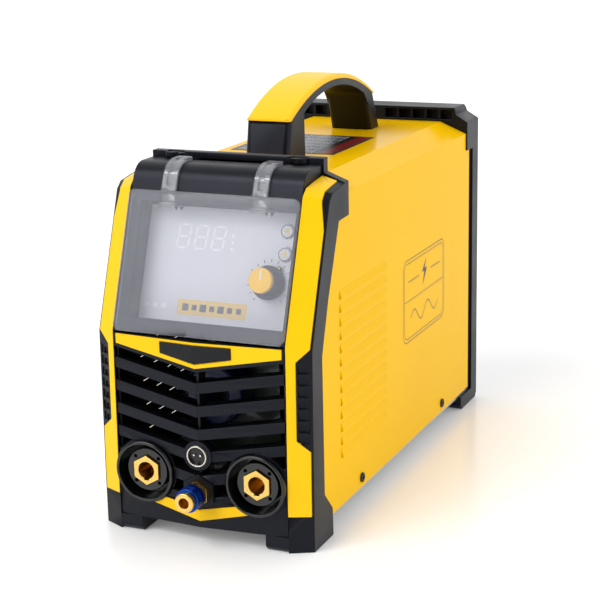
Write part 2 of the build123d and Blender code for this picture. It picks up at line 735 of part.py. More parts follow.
def make_right_contact():
    x, z = SOCKET_X, SOCKET_Z
    front = SOCKET_FACE_Y - 0.7
    contact = hex_y(x, z, CONTACT_ACROSS, front, SOCKET_FACE_Y + 12)
    contact += rod_y(x, z, CONTACT_STEM_R, SOCKET_FACE_Y + 11, front + CONTACT_BORE_LENGTH + 6)
    contact -= rod_y(x, z, CONTACT_BORE_R, front - 1, front + CONTACT_BORE_LENGTH)
    return contact - block(x - KEYWAY_HALF, x + KEYWAY_HALF, front - 1, front + CONTACT_BORE_LENGTH,
                           z - CONTACT_BORE_R - 1.4, z)


def make_right_nut():
    nut = hex_y(SOCKET_X, SOCKET_Z, CONTACT_ACROSS + 4, COLLAR_BACK_Y, COLLAR_BACK_Y + LOCK_NUT + 1)
    return nut - rod_y(SOCKET_X, SOCKET_Z, CONTACT_STEM_R, BEZEL_AHEAD, FRONT + 90)


def make_right_bus_bar():
    y0 = COLLAR_BACK_Y + LOCK_NUT + 1
    bar = block(SOCKET_X - 11, SOCKET_X + 13, y0, y0 + 2, SOCKET_Z - 11, SOCKET_Z + 18)
    bar += block(SOCKET_X + 11, SOCKET_X + 13, y0, SINK_FRONT, SOCKET_Z + 6, SOCKET_Z + 18)
    return bar - rod_y(SOCKET_X, SOCKET_Z, CONTACT_STEM_R, BEZEL_AHEAD, FRONT + 90)


# Remote socket and gas coupler


def make_remote_shell():
    front = PANEL_NOSE_Y - 2.6
    shell = rod_y(0, REMOTE_Z, REMOTE_R, front, PANEL_NOSE_Y - 1)
    shell += rod_y(0, REMOTE_Z, REMOTE_R - 0.2, PANEL_NOSE_Y - 1, PANEL_NOSE_Y + 16)
    return shell - rod_y(0, REMOTE_Z, REMOTE_R - 1.1, front - 1, PANEL_NOSE_Y + 17)


def make_remote_insert():
    insert = rod_y(0, REMOTE_Z, REMOTE_R - 1.1, PANEL_NOSE_Y, PANEL_NOSE_Y + 14)
    insert += block(-1, 1, PANEL_NOSE_Y - 2, PANEL_NOSE_Y,
                    REMOTE_Z - REMOTE_R + 1.3, REMOTE_Z - REMOTE_R + 2.6)
    return insert - remote_pin_rods()


def remote_pin_rods():
    return both_sides(rod_y(2.6, REMOTE_Z + 0.5, 0.8, PANEL_NOSE_Y - 1.6, PANEL_NOSE_Y + 18))


def make_remote_nut():
    nut = hex_y(0, REMOTE_Z, REMOTE_R * 2 + 3, PANEL_NOSE_Y + 8, PANEL_NOSE_Y + 11)
    return nut - rod_y(0, REMOTE_Z, REMOTE_R - 0.2, BEZEL_AHEAD, FRONT + 60)


def make_coupler_body():
    z = COUPLER_Z
    body = hex_y(0, z, 17, COUPLER_SEAT - 4, COUPLER_SEAT)
    body += rod_y(0, z, COUPLER_R, COUPLER_FRONT + 3, COUPLER_SEAT - 3)
    nose = rod_y(0, z, COUPLER_R + 0.8, COUPLER_FRONT, COUPLER_FRONT + 4.6)
    body += fillet(nose.edges().sort_by(Axis.Y)[:1], 0.8)
    body += rod_y(0, z, COUPLER_STEM_R, COUPLER_SEAT - 1, FRONT + 16)
    body += rod_y(0, z, COUPLER_R - 2.6, FRONT + 15, COUPLER_TAIL)
    body -= rod_y(0, z, COUPLER_BORE_R, COUPLER_FRONT - 1, COUPLER_FRONT + 16)
    return body - rod_y(0, z, 2.0, COUPLER_FRONT, COUPLER_TAIL + 1)


def make_coupler_sleeve():
    z = COUPLER_Z
    front = COUPLER_FRONT + 5.0
    back = COUPLER_SEAT - 4 - SLEEVE_TRAVEL - 0.5
    sleeve = rod_y(0, z, SLEEVE_R, front, back)
    sleeve = fillet(sleeve.edges().filter_by(GeomType.CIRCLE), 0.7)
    for offset_y in (2.6, 4.8):
        ring = rod_y(0, z, SLEEVE_R + 1, front + offset_y, front + offset_y + 0.9)
        sleeve -= ring - rod_y(0, z, SLEEVE_R - 0.6, front, back)
    return sleeve - rod_y(0, z, COUPLER_R + RUNNING, front - 1, back + 1)


def make_coupler_nut():
    nut = hex_y(0, COUPLER_Z, 15, PANEL_NOSE_Y + 8, PANEL_NOSE_Y + 12)
    return nut - rod_y(0, COUPLER_Z, COUPLER_STEM_R, BEZEL_AHEAD, FRONT + 60)


# Handle


def handle_bolt_places():
    return (HANDLE_FRONT + 19.0, HANDLE_BACK - 13.0)


def handle_solid(low, high):
    """The side view of the grip between its underside at the legs and a crown, pushed across."""
    y0 = HANDLE_FRONT
    y1 = HANDLE_BACK
    rise = COVER_TOP + high
    path = Polyline((y0 + 5.5, rise - 24), (y0, COVER_TOP + low), (y1, COVER_TOP + low),
                    (y1 - 13, rise - 24))
    path += ThreePointArc((y1 - 13, rise - 24), ((y0 + y1) / 2 - 4, rise), (y0 + 5.5, rise - 24))
    face = Plane.YZ.offset(-HANDLE_HALF) * make_face(path)
    return extrude(face, 2 * HANDLE_HALF, dir=(1, 0, 0))


def handle_gap():
    y0 = HANDLE_FRONT + 33.0
    y1 = HANDLE_BACK - 29.0
    z = COVER_TOP + HANDLE_RISE
    path = Polyline((y0 + 4, z - 21.5), (y0 + 6, COVER_TOP - 9), (y1 + 8, COVER_TOP - 9), (y1 - 5, z - 28),
                    (y1 - 9, z - 23.5))
    path += ThreePointArc((y1 - 9, z - 23.5), ((y0 + y1) / 2 - 2, z - 9.6), (y0 + 4, z - 21.5))
    face = Plane.YZ.offset(-HALF) * make_face(path)
    return extrude(face, 2 * HALF, dir=(1, 0, 0))


def make_handle_body():
    body = handle_solid(0, HANDLE_RISE - CAP_THICK) - handle_gap()
    long_edges = body.edges().filter_by(Axis.Z, reverse=True).filter_by_position(
        Axis.Z, COVER_TOP + 1, COVER_TOP + HANDLE_RISE - 26)
    upright = [edge for edge in long_edges if abs(edge.tangent_at(0.5).Z) > 0.7]
    body = fillet(upright, 5)
    for y in handle_bolt_places():
        body -= rod_z(0, y, HANDLE_BOLT_R, COVER_TOP - 1, COVER_TOP + 15)
    return body


def make_handle_cap():
    crown = handle_solid(-5, HANDLE_RISE)
    crown -= Pos(0, 0, -8) * block(-FAR, FAR, -FAR, FAR, -FAR, COVER_TOP + HANDLE_RISE - 18)
    top = [edge for edge in crown.edges() if edge.geom_type == GeomType.CIRCLE]
    crown = fillet(top, 3.4)
    return crown - handle_solid(0, HANDLE_RISE - CAP_THICK)


def make_handle_bolts():
    bolts = Part()
    for y in handle_bolt_places():
        bolts += rod_z(0, y, HANDLE_BOLT_R + 2, COVER_TOP - SHEET - 4, COVER_TOP - SHEET)
        bolts += rod_z(0, y, HANDLE_BOLT_R, COVER_TOP - SHEET - 1, COVER_TOP + 14)
    return bolts


def make_top_label():
    y0 = HANDLE_FRONT + 48.0
    return block(-53, 37, y0, y0 + LABEL_LENGTH, COVER_TOP, COVER_TOP + 0.3)


# Rear


def rear_outline(out):
    half = HALF + out
    return [
        (0, COVER_TOP + 12.6 + out),
        (INNER + 5.2, COVER_TOP + 12.6 + out),
        (INNER + 6.6, COVER_TOP + 6.4 + out),
        (half, COVER_TOP + out),
        (half, FOOT_HEIGHT - 8 - out),
        (0, FOOT_HEIGHT - 8 - out),
    ]


def make_rear_bezel():
    front = REAR - 32.5
    frame = along_y(rear_outline(0), front, REAR)
    frame = frame & block(0, FAR, -FAR, REAR, FOOT_HEIGHT, FAR)
    low_side = block(COVER_HALF - SHEET, FAR, front - 1, REAR - 16.3, -1, COVER_TOP - 25)
    frame -= low_side
    frame -= block(0, COVER_HALF - SHEET, front - 1, REAR - 25, FOOT_HEIGHT - 1, COVER_TOP - 22)
    frame -= along_y(cover_outline(SHEET + 2.2), -FAR, PANEL_SHEET_BACK)
    frame -= block(-1, COVER_HALF - 9, -FAR, PANEL_SHEET_BACK, FOOT_HEIGHT - 1, 40)
    frame -= block(-1, COVER_HALF - 9, -FAR, REAR + 1, FOOT_HEIGHT + 9, COVER_TOP - 20)
    foot = block(50, HALF, REAR - 47, REAR, 0, FOOT_HEIGHT)
    foot = chamfer(foot.edges().filter_by(Axis.X).group_by(Axis.Z)[0], 4)
    frame += foot
    for number in range(5):
        x = 9.0 + 13.0 * number
        frame -= block(x, x + 10.5, front - 1, front + 9, COVER_TOP + 2.2, COVER_TOP + 10.2)
    frame -= cover_envelope() + make_base_plate()
    bezel = frame + left_of(frame)
    top_edges = bezel.edges().filter_by(Axis.X).group_by(Axis.Z)[-1]
    return fillet(top_edges.sort_by(Axis.Y)[-1:], 6)


def make_rear_panel():
    y0 = PANEL_SHEET_FRONT
    half = COVER_HALF - SHEET - 2.4
    panel = block(-half, half, y0, PANEL_SHEET_BACK, FOOT_HEIGHT + 3.2, COVER_TOP - 16)
    panel -= rod_y(0, FAN_Z, FAN_SIZE / 2 - 3, y0 - 1, REAR)
    panel -= switch_space(y0 - 1, REAR)
    panel -= rod_y(GLAND_X, SERVICE_Z, GLAND_STEM_R, y0 - 1, REAR)
    panel -= rod_y(INLET_X, COUPLER_Z, INLET_R + 0.5, y0 - 1, REAR)
    for x, z in fan_screw_places():
        panel -= rod_y(x, z, FAN_SCREW_R, y0 - 1, REAR)
    return panel


def switch_space(y0, y1):
    return block(SWITCH_X - SWITCH_HALF_WIDTH, SWITCH_X + SWITCH_HALF_WIDTH, y0, y1,
                 SERVICE_Z - SWITCH_HALF_HEIGHT, SERVICE_Z + SWITCH_HALF_HEIGHT)


def fan_screw_places():
    reach = FAN_SIZE / 2 - 4.8
    return [(x, FAN_Z + z) for x in (-reach, reach) for z in (-reach, reach)]


def make_fan_frame():
    y1 = PANEL_SHEET_FRONT
    y0 = y1 - FAN_DEPTH
    half = FAN_SIZE / 2
    frame = block(-half, half, y0, y1, FAN_Z - half, FAN_Z + half)
    frame = fillet(frame.edges().filter_by(Axis.Y), 4)
    frame -= rod_y(0, FAN_Z, half - 2, y0 - 1, y1 + 1)
    hub = rod_y(0, FAN_Z, FAN_HUB_R, y0, y0 + 4)
    for turn in (45, 135, 225, 315):
        arm = Pos(0, y0 + 2, FAN_Z) * Rot(0, turn, 0) * Pos(half / 2, 0, 0) * Box(half - 2, 4, 3)
        hub += arm
    frame += hub & rod_y(0, FAN_Z, half - 1, y0, y1)
    frame -= rod_y(0, FAN_Z, FAN_SHAFT_R + RUNNING, y0 - 1, y1)
    for x, z in fan_screw_places():
        frame -= rod_y(x, z, FAN_SCREW_R, y0 - 1, y1 + 1)
    return frame


def make_fan_rotor():
    y1 = PANEL_SHEET_FRONT - 2.5
    y0 = PANEL_SHEET_FRONT - FAN_DEPTH + 4.5
    rotor = rod_y(0, FAN_Z, FAN_HUB_R, y0, y1)
    rotor += rod_y(0, FAN_Z, FAN_SHAFT_R, y0 - 4, y0 + 1)
    tip = FAN_SIZE / 2 - 4
    root = FAN_HUB_R - 1.5
    for number in range(BLADES):
        blade = Pos((root + tip) / 2, 0, 0) * Rot(38, 0, 0) * Box(tip - root, 17, 1.8)
        rotor += Pos(0, (y0 + y1) / 2, FAN_Z) * Rot(0, number * 360 / BLADES, 0) * blade
    return rotor


def make_fan_guard():
    y0 = PANEL_SHEET_BACK
    half = FAN_SIZE / 2
    plate = block(-half, half, y0, y0 + 2.5, FAN_Z - half, FAN_Z + half)
    guard = fillet(plate.edges().filter_by(Axis.Y), 6)
    radius = half - 3
    while radius > 12:
        ring = rod_y(0, FAN_Z, radius, y0 - 1, y0 + 4) - rod_y(0, FAN_Z, radius - 5.5, y0 - 2, y0 + 5)
        for turn in (0, 90):
            ring -= Pos(0, y0 + 1, FAN_Z) * Rot(0, turn, 0) * Box(3, 12, FAN_SIZE)
        guard -= ring
        radius -= 7.5
    for x, z in fan_screw_places():
        guard -= rod_y(x, z, FAN_SCREW_R, y0 - 1, y0 + 4)
    return guard


def make_fan_screws():
    screws = Part()
    for x, z in fan_screw_places():
        screws += rod_y(x, z, 3.4, PANEL_SHEET_BACK + 2.5, PANEL_SHEET_BACK + 4.5)
        screws += rod_y(x, z, FAN_SCREW_R, PANEL_SHEET_BACK - 12, PANEL_SHEET_BACK + 3)
    return screws


def make_switch_body():
    x, z = SWITCH_X, SERVICE_Z
    y1 = PANEL_SHEET_BACK + 2.0
    body = block(x - 16, x + 16, PANEL_SHEET_BACK, y1, z - 17, z + 17)
    body += switch_space(PANEL_SHEET_BACK - 26, PANEL_SHEET_BACK)
    body -= block(x - 9.3, x + 9.3, PANEL_SHEET_BACK - 12, y1 + 1, z - 12.6, z + 12.6)
    return body - rod_x(SWITCH_PIVOT_Y, z, 2.0 + RUNNING, x - 12, x + 12)


def make_switch_rocker():
    """The rocker at rest with its lower half pressed, turned ten degrees on its pivot."""
    y = SWITCH_PIVOT_Y
    face = [(-4, -8), (8, -10.5), (5.5, 0), (8, 10.5), (-4, 8)]
    turn = radians(10)
    outline = []
    for dy, dz in face:
        outline.append((y + dy * cos(turn) + dz * sin(turn), SERVICE_Z - dy * sin(turn) + dz * cos(turn)))
    rocker = along_x(outline, SWITCH_X - 9.0, SWITCH_X + 9.0)
    return rocker + rod_x(y, SERVICE_Z, 2.0, SWITCH_X - 11.5, SWITCH_X + 11.5)


def make_cable_gland():
    y0 = PANEL_SHEET_BACK
    gland = hex_y(GLAND_X, SERVICE_Z, 24, y0, y0 + 4.5)
    gland += rod_y(GLAND_X, SERVICE_Z, GLAND_STEM_R, y0 - 16, y0 + 1)
    dome = rod_y(GLAND_X, SERVICE_Z, 11.5, y0 + 4.5, y0 + 20)
    gland += fillet(dome.edges().sort_by(Axis.Y)[-1:], 5)
    return gland - rod_y(GLAND_X, SERVICE_Z, GLAND_BORE_R, y0 - 20, y0 + 30)


def make_gland_nut():
    nut = hex_y(GLAND_X, SERVICE_Z, 24, PANEL_SHEET_FRONT - LOCK_NUT, PANEL_SHEET_FRONT)
    return nut - rod_y(GLAND_X, SERVICE_Z, GLAND_STEM_R, -FAR, FAR)


def make_gas_inlet():
    x, z = INLET_X, COUPLER_Z
    tip = REAR + GAS_REACH
    inlet = hex_y(x, z, 14, PANEL_SHEET_BACK, PANEL_SHEET_BACK + 6)
    inlet += rod_y(x, z, INLET_R, PANEL_SHEET_BACK + 5, tip)
    inlet += rod_y(x, z, INLET_R + 0.5, PANEL_SHEET_BACK - 10, PANEL_SHEET_BACK + 1)
    for number in range(BARBS):
        y0 = tip - (BARB_LENGTH + 1) * (number + 1)
        ring = rod_y(x, z, INLET_R + 1, y0, y0 + BARB_LENGTH)
        barb = Rot(-90, 0, 0) * Cone(INLET_R, INLET_R - BARB_DEPTH, BARB_LENGTH)
        inlet -= ring - Pos(x, y0 + BARB_LENGTH / 2, z) * barb
    return inlet - rod_y(x, z, 2.0, -FAR, tip + 1)


# Gas valve and hoses


def make_valve_body():
    x, z = INLET_X, COUPLER_Z
    body = block(x - 9, x + 9, VALVE_FRONT, VALVE_BACK, FLOOR_TOP, z + 11)
    middle = (VALVE_FRONT + VALVE_BACK) / 2
    return body - rod_z(x, middle, PLUNGER_R + RUNNING, z, z + 12)


def make_valve_coil():
    x, middle = INLET_X, (VALVE_FRONT + VALVE_BACK) / 2
    coil = rod_z(x, middle, 12.0, COUPLER_Z + 11, COUPLER_Z + 37)
    return coil - rod_z(x, middle, PLUNGER_R + RUNNING, COUPLER_Z, COUPLER_Z + 34)


def make_valve_plunger():
    x, middle = INLET_X, (VALVE_FRONT + VALVE_BACK) / 2
    return rod_z(x, middle, PLUNGER_R, COUPLER_Z + 2, COUPLER_Z + 32)


def hose(points):
    """A hose of straight runs with arcs as large as the runs leave room for."""
    line = [Vector(*point) for point in points]
    radii = []
    for before, corner, after in zip(line, line[1:], line[2:]):
        shorter = min((corner - before).length, (after - corner).length)
        turn = (corner - before).get_angle(after - corner)
        radii.append(round(0.45 * shorter / tan(radians(turn / 2)), 1))
    print("hose radii", radii)
    path = FilletPolyline(*line, radius=radii) if radii else Polyline(*line)
    start = Plane(origin=line[0], z_dir=line[1] - line[0])
    return sweep(start * Circle(HOSE_R), path=path)


def make_inlet_hose():
    z = COUPLER_Z
    return hose([(INLET_X, PANEL_SHEET_BACK - 10, z), (INLET_X, VALVE_BACK, z)])


def make_outlet_hose():
    z = COUPLER_Z
    return hose([(INLET_X, VALVE_FRONT, z), (INLET_X, FRONT + 170, z), (0, FRONT + 70, z),
                 (0, COUPLER_TAIL, z)])


# Power stage


def make_right_heat_sink():
    low = COUPLER_Z + 18
    sink = block(SINK_X, SINK_X + SINK_PLATE, SINK_FRONT, SINK_BACK, FLOOR_TOP, BOARD_Z)
    sink -= block(SINK_X - 1, SINK_X + SINK_PLATE + 1, SINK_FRONT + 12, SINK_BACK - 12, 0, low - 4)
    z = low
    while z < BOARD_Z - 3:
        sink += block(SINK_X + SINK_PLATE - 1, HALF - 9, SINK_FRONT, SINK_BACK, z, z + FIN_THICK)
        z += FIN_PITCH
    return sink


def make_power_modules():
    modules = Part()
    for number in range(4):
        y0 = SINK_FRONT + 12 + 38 * number
        if y0 + 20 < SINK_BACK:
            modules += both_sides(block(SINK_X - 5, SINK_X, y0, y0 + 16, BOARD_Z - 32, BOARD_Z - 10))
    return modules


def make_main_board():
    return block(-HALF + 10, HALF - 10, SINK_FRONT - 5, REAR - 50, BOARD_Z, BOARD_Z + BOARD)


def make_bus_capacitors():
    cans = Part()
    for number in range(3):
        y = SINK_BACK - 20 - 36 * number
        cans += both_sides(rod_z(CAN_R + 3, y, CAN_R, BOARD_Z + BOARD, BOARD_Z + BOARD + CAN_HEIGHT))
    return cans


def make_transformer_core():
    y, z = TRANSFORMER_Y, FLOOR_TOP
    core = block(-32, 32, y - CORE_HALF_DEPTH, y + CORE_HALF_DEPTH, z, z + 56)
    core -= both_sides(block(9, 23, y - 20, y + 20, z + 9, z + 47))
    return core


def make_transformer_winding():
    y, z = TRANSFORMER_Y, FLOOR_TOP
    ring = block(-22.6, 22.6, y - 29, y + 29, z + 10, z + 46)
    ring -= block(-9, 9, y - CORE_HALF_DEPTH, y + CORE_HALF_DEPTH, z, z + 56)
    return ring


def toroid(outer, inner, height):
    ring = Cylinder(outer, height) - Cylinder(inner, height + 2)
    return fillet(ring.edges().filter_by(GeomType.CIRCLE), 4)


def make_output_choke():
    return Pos(0, TRANSFORMER_Y - 64, FLOOR_TOP + 12) * toroid(27, 12, 24)


def make_hf_board():
    board = block(-37, 37, HF_BOARD_Y, HF_BOARD_Y + BOARD, FLOOR_TOP, BOARD_Z - 8)
    return board - rod_y(0, COUPLER_Z, HOSE_R + 4, HF_BOARD_Y - 1, HF_BOARD_Y + 3)


def make_hf_coil():
    return Pos(-8, HF_BOARD_Y - 11, 100) * Rot(90, 0, 0) * toroid(24, 11, 22)


def node_shapes():
    right_trim = make_right_trim()
    return {
        "top_cover": make_top_cover(),
        "cover_screws": make_cover_screws(),
        "base_plate": make_base_plate(),
        "front_bezel": make_front_bezel(right_trim),
        "right_side_trim": right_trim,
        "left_side_trim": left_of(right_trim),
        "display_hood": make_display_hood(),
        "hinge_pins": hinge_pin_rods(),
        "clear_cover": make_clear_cover(),
        "display_overlay": make_display_overlay(),
        "display_module": make_display_module(),
        "control_board": make_control_board(),
        "encoder_body": make_encoder_body(),
        "encoder_shaft": make_encoder_shaft(),
        "knob": make_knob(),
        "knob_cap": make_knob_cap(),
        "lower_button": make_key(KEY_S[0]),
        "upper_button": make_key(KEY_S[1]),
        "key_switches": make_key_switches(),
        "front_grille": make_front_grille(),
        "upper_chevron_trim": make_upper_trim(),
        "lower_chevron_trim": make_lower_trim(),
        "name_plate": name_plate_shape(),
        "socket_collars": both_sides(make_right_collar()),
        "socket_contacts": both_sides(make_right_contact()),
        "socket_nuts": both_sides(make_right_nut()),
        "bus_bars": both_sides(make_right_bus_bar()),
        "remote_socket_shell": make_remote_shell(),
        "remote_socket_insert": make_remote_insert(),
        "remote_socket_pins": remote_pin_rods(),
        "panel_lock_nuts": make_remote_nut() + make_coupler_nut() + make_gland_nut(),
        "gas_coupler_body": make_coupler_body(),
        "gas_coupler_sleeve": make_coupler_sleeve(),
        "handle_body": make_handle_body(),
        "handle_cap": make_handle_cap(),
        "handle_bolts": make_handle_bolts(),
        "top_label": make_top_label(),
        "rear_bezel": make_rear_bezel(),
        "rear_panel": make_rear_panel(),
        "fan_frame": make_fan_frame(),
        "fan_rotor": make_fan_rotor(),
        "fan_guard": make_fan_guard(),
        "fan_screws": make_fan_screws(),
        "switch_body": make_switch_body(),
        "switch_rocker": make_switch_rocker(),
        "cable_gland": make_cable_gland(),
        "gas_inlet": make_gas_inlet(),
        "gas_valve_body": make_valve_body(),
        "gas_valve_coil": make_valve_coil(),
        "valve_plunger": make_valve_plunger(),
        "gas_hoses": make_inlet_hose() + make_outlet_hose(),
        "heat_sinks": both_sides(make_right_heat_sink()),
        "power_modules": make_power_modules(),
        "main_board": make_main_board(),
        "bus_capacitors": make_bus_capacitors(),
        "transformer_core": make_transformer_core(),
        "transformer_winding": make_transformer_winding(),
        "output_choke": make_output_choke(),
        "hf_board": make_hf_board(),
        "hf_coil": make_hf_coil(),
    }


os.makedirs("parts", exist_ok=True)
for node, shape in node_shapes().items():
    export_step(shape, "parts/" + node + ".step")
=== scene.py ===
import json
from math import cos, pi, radians, sin

import bmesh
import bpy
from mathutils import Matrix, Vector


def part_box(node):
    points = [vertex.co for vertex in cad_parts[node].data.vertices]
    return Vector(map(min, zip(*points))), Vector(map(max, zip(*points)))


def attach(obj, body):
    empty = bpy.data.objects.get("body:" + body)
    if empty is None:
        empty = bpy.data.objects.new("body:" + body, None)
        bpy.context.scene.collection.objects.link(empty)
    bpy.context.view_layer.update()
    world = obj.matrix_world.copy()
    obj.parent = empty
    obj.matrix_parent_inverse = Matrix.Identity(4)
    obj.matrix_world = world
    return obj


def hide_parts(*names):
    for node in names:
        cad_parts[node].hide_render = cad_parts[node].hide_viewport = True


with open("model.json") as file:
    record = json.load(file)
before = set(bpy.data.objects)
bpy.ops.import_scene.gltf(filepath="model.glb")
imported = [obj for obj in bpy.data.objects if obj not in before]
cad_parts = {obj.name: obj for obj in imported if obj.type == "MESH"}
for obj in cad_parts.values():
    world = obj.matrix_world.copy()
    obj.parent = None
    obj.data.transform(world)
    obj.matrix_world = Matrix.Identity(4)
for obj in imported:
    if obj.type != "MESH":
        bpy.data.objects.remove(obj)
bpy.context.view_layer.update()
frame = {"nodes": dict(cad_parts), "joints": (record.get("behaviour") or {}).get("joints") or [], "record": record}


# Base plate and inner fixings: sheet steel and turned steel, zinc plated and passivated, so the
# skin is pale, metallic and faintly clouded. The plate is folded and screwed to the cover.
mm = 0.001


def paint(code):
    """Turns an sRGB hex colour into the linear values that the shaders use."""
    channels = [int(code[place:place + 2], 16) / 255 for place in (1, 3, 5)]
    linear = [c / 12.92 if c <= 0.04045 else ((c + 0.055) / 1.055) ** 2.4 for c in channels]
    return (*linear, 1.0)


def add(tree, kind, inputs=None, **settings):
    """Adds one node, sets it up, and gives its inputs values or links."""
    made = tree.nodes.new(kind)
    for name, value in settings.items():
        setattr(made, name, value)
    for name, value in (inputs or {}).items():
        if isinstance(value, bpy.types.NodeSocket):
            tree.links.new(value, made.inputs[name])
        else:
            made.inputs[name].default_value = value
    return made


def surface(name, colours, roughness, skin=None, tone_mm=60, grain_mm=0.6, depth_mm=0.02, stretch=(1, 1, 1)):
    """A finish with a clouded tone, a fine relief and an uneven gloss, all in object coordinates."""
    material = bpy.data.materials.new(name)
    material.use_nodes = True
    tree = material.node_tree
    tree.nodes.clear()
    place = add(tree, "ShaderNodeTexCoord")
    scale = add(tree, "ShaderNodeMapping", {"Vector": place.outputs["Object"], "Scale": stretch})
    cloud = add(tree, "ShaderNodeTexNoise", {"Vector": scale.outputs["Vector"], "Scale": 1000 / tone_mm,
                                             "Detail": 4.0, "Roughness": 0.55})
    grain = add(tree, "ShaderNodeTexNoise", {"Vector": scale.outputs["Vector"], "Scale": 1000 / grain_mm,
                                             "Detail": 2.0, "Roughness": 0.5})
    relief = add(tree, "ShaderNodeBump", {"Height": grain.outputs["Fac"], "Distance": depth_mm * mm})
    gloss = add(tree, "ShaderNodeMapRange", {"Value": cloud.outputs["Fac"], "From Min": 0.3, "From Max": 0.7,
                                             "To Min": roughness[0], "To Max": roughness[1]})
    tone = add(tree, "ShaderNodeMix", {"Factor": cloud.outputs["Fac"]}, data_type="RGBA")
    tone.inputs[6].default_value = paint(colours[0])
    tone.inputs[7].default_value = paint(colours[1])
    shader = add(tree, "ShaderNodeBsdfPrincipled",
                 {"Base Color": tone.outputs[2], "Normal": relief.outputs["Normal"],
                  "Roughness": gloss.outputs["Result"], **(skin or {})})
    add(tree, "ShaderNodeOutputMaterial", {"Surface": shader.outputs["BSDF"]})
    return material


def dress(nodes, finish):
    """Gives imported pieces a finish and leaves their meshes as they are."""
    for node in nodes:
        slots = frame["nodes"][node].data.materials
        slots.clear()
        slots.append(finish)


zinc = surface("zinc_plated_steel", ("#A9ACAF", "#C4C6C8"), (0.3, 0.42), {"Metallic": 1.0}, tone_mm=30,
               depth_mm=0.01)
dress(("base_plate", "hinge_pins", "encoder_body", "encoder_shaft", "handle_bolts", "valve_plunger"), zinc)


# Circuit boards: glass-epoxy laminate under a green solder mask, etched, drilled and screwed to
# the case. The mask is glossy and shows the faint lines of the copper below it.
# Painted shade: both mask tones are darker than the board's own green, to stand for the shade inside the cover.
shade_darkened_solder_mask = surface("green_solder_mask_painted_shade", ("#06180D", "#082413"), (0.25, 0.35), {"Coat Weight": 0.3},
                      tone_mm=14, grain_mm=1.2, depth_mm=0.03)
dress(("control_board", "main_board", "hf_board"), shade_darkened_solder_mask)


# Power stage: extruded aluminium sinks with drawn lines, ferrite cores pressed and sintered,
# windings under polyester tape, enamelled copper wire, and capacitors in shrink sleeve.
extruded = surface("extruded_aluminium", ("#A4A7AB", "#BBBEC2"), (0.32, 0.45), {"Metallic": 1.0}, tone_mm=30,
                   grain_mm=0.7, stretch=(1, 0.1, 1))
copper = surface("enamelled_copper", ("#8A4424", "#A85C30"), (0.22, 0.32), {"Metallic": 1.0}, tone_mm=10,
                 grain_mm=1.0, depth_mm=0.05)
# Painted shade: the tape's blue is darkened to stand for the shade inside the cover.
shade_darkened_tape = surface("blue_polyester_tape_painted_shade", ("#081538", "#0B1D4C"), (0.25, 0.35), tone_mm=12, grain_mm=1.5,
               depth_mm=0.05)
ferrite = surface("sintered_ferrite", ("#2B2C30", "#37383D"), (0.45, 0.6), tone_mm=15, depth_mm=0.03)
sleeve = surface("capacitor_shrink_sleeve", ("#0C1326", "#131D38"), (0.2, 0.3), tone_mm=20, depth_mm=0.005)
nylon = surface("glass_filled_nylon", ("#0E0F12", "#15161A"), (0.24, 0.36), {"Specular IOR Level": 0.4},
                tone_mm=25, grain_mm=0.7)
dress(("heat_sinks",), extruded)
dress(("output_choke", "bus_bars"), copper)
dress(("transformer_winding", "hf_coil"), shade_darkened_tape)
dress(("transformer_core",), ferrite)
dress(("bus_capacitors",), sleeve)
dress(("power_modules", "key_switches", "display_module", "gas_valve_coil"), nylon)


# Gas line: turned brass fittings left bare, with fine lines round them from the lathe, and a
# reinforced rubber hose pushed on, matt with a braid that shows through.
brass = surface("turned_brass", ("#D8AE55", "#EBC878"), (0.2, 0.3), {"Metallic": 1.0}, tone_mm=18,
                grain_mm=0.5, depth_mm=0.012, stretch=(1, 0.25, 1))
hose_rubber = surface("braided_hose_rubber", ("#141416", "#1C1C1F"), (0.5, 0.6), tone_mm=8, grain_mm=1.2,
                      depth_mm=0.06)
dress(("gas_valve_body", "panel_lock_nuts", "socket_nuts"), brass)
dress(("gas_hoses",), hose_rubber)


# Sheet cover: 1.2 mm steel folded into an arch with louvres pressed out of both sides, then
# powder coated and baked. The cured coat is glossy, with an orange peel about 1.6 mm across.
home = {node: body for body, nodes in frame["record"]["behaviour"]["bodies"].items() for node in nodes}


def rounded(node, finish, edge_mm, smooth_degrees=25, whole=True):
    """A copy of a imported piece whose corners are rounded, as a mould or a lathe leaves them.

    Flat facets are first joined into whole faces, except on pieces with curved outlines."""
    mesh = frame["nodes"][node].data.copy()
    shape = bmesh.new()
    shape.from_mesh(mesh)
    bmesh.ops.remove_doubles(shape, verts=shape.verts, dist=0.002 * mm)
    if whole:
        bmesh.ops.dissolve_limit(shape, angle_limit=radians(0.3), verts=shape.verts, edges=shape.edges)
    shape.to_mesh(mesh)
    shape.free()
    mesh.materials.clear()
    mesh.materials.append(finish)
    mesh.shade_smooth()
    mesh.set_sharp_from_angle(angle=radians(smooth_degrees))
    piece = bpy.data.objects.new(node + "_finished", mesh)
    bpy.context.scene.collection.objects.link(piece)
    if edge_mm:
        edge = piece.modifiers.new("edge", "BEVEL")
        edge.width = edge_mm * mm
        edge.segments = 2
        edge.limit_method = "ANGLE"
        edge.angle_limit = radians(35)
        edge.use_clamp_overlap = False
        edge.harden_normals = True
    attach(piece, home[node])
    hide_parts(node)
    return piece


powder_coat = surface("powder_coated_steel", ("#F3BB00", "#F9C402"), (0.16, 0.24),
                      {"Coat Weight": 0.03, "Coat Roughness": 0.1, "Specular IOR Level": 0.03},
                      tone_mm=140, grain_mm=1.6, depth_mm=0.008)
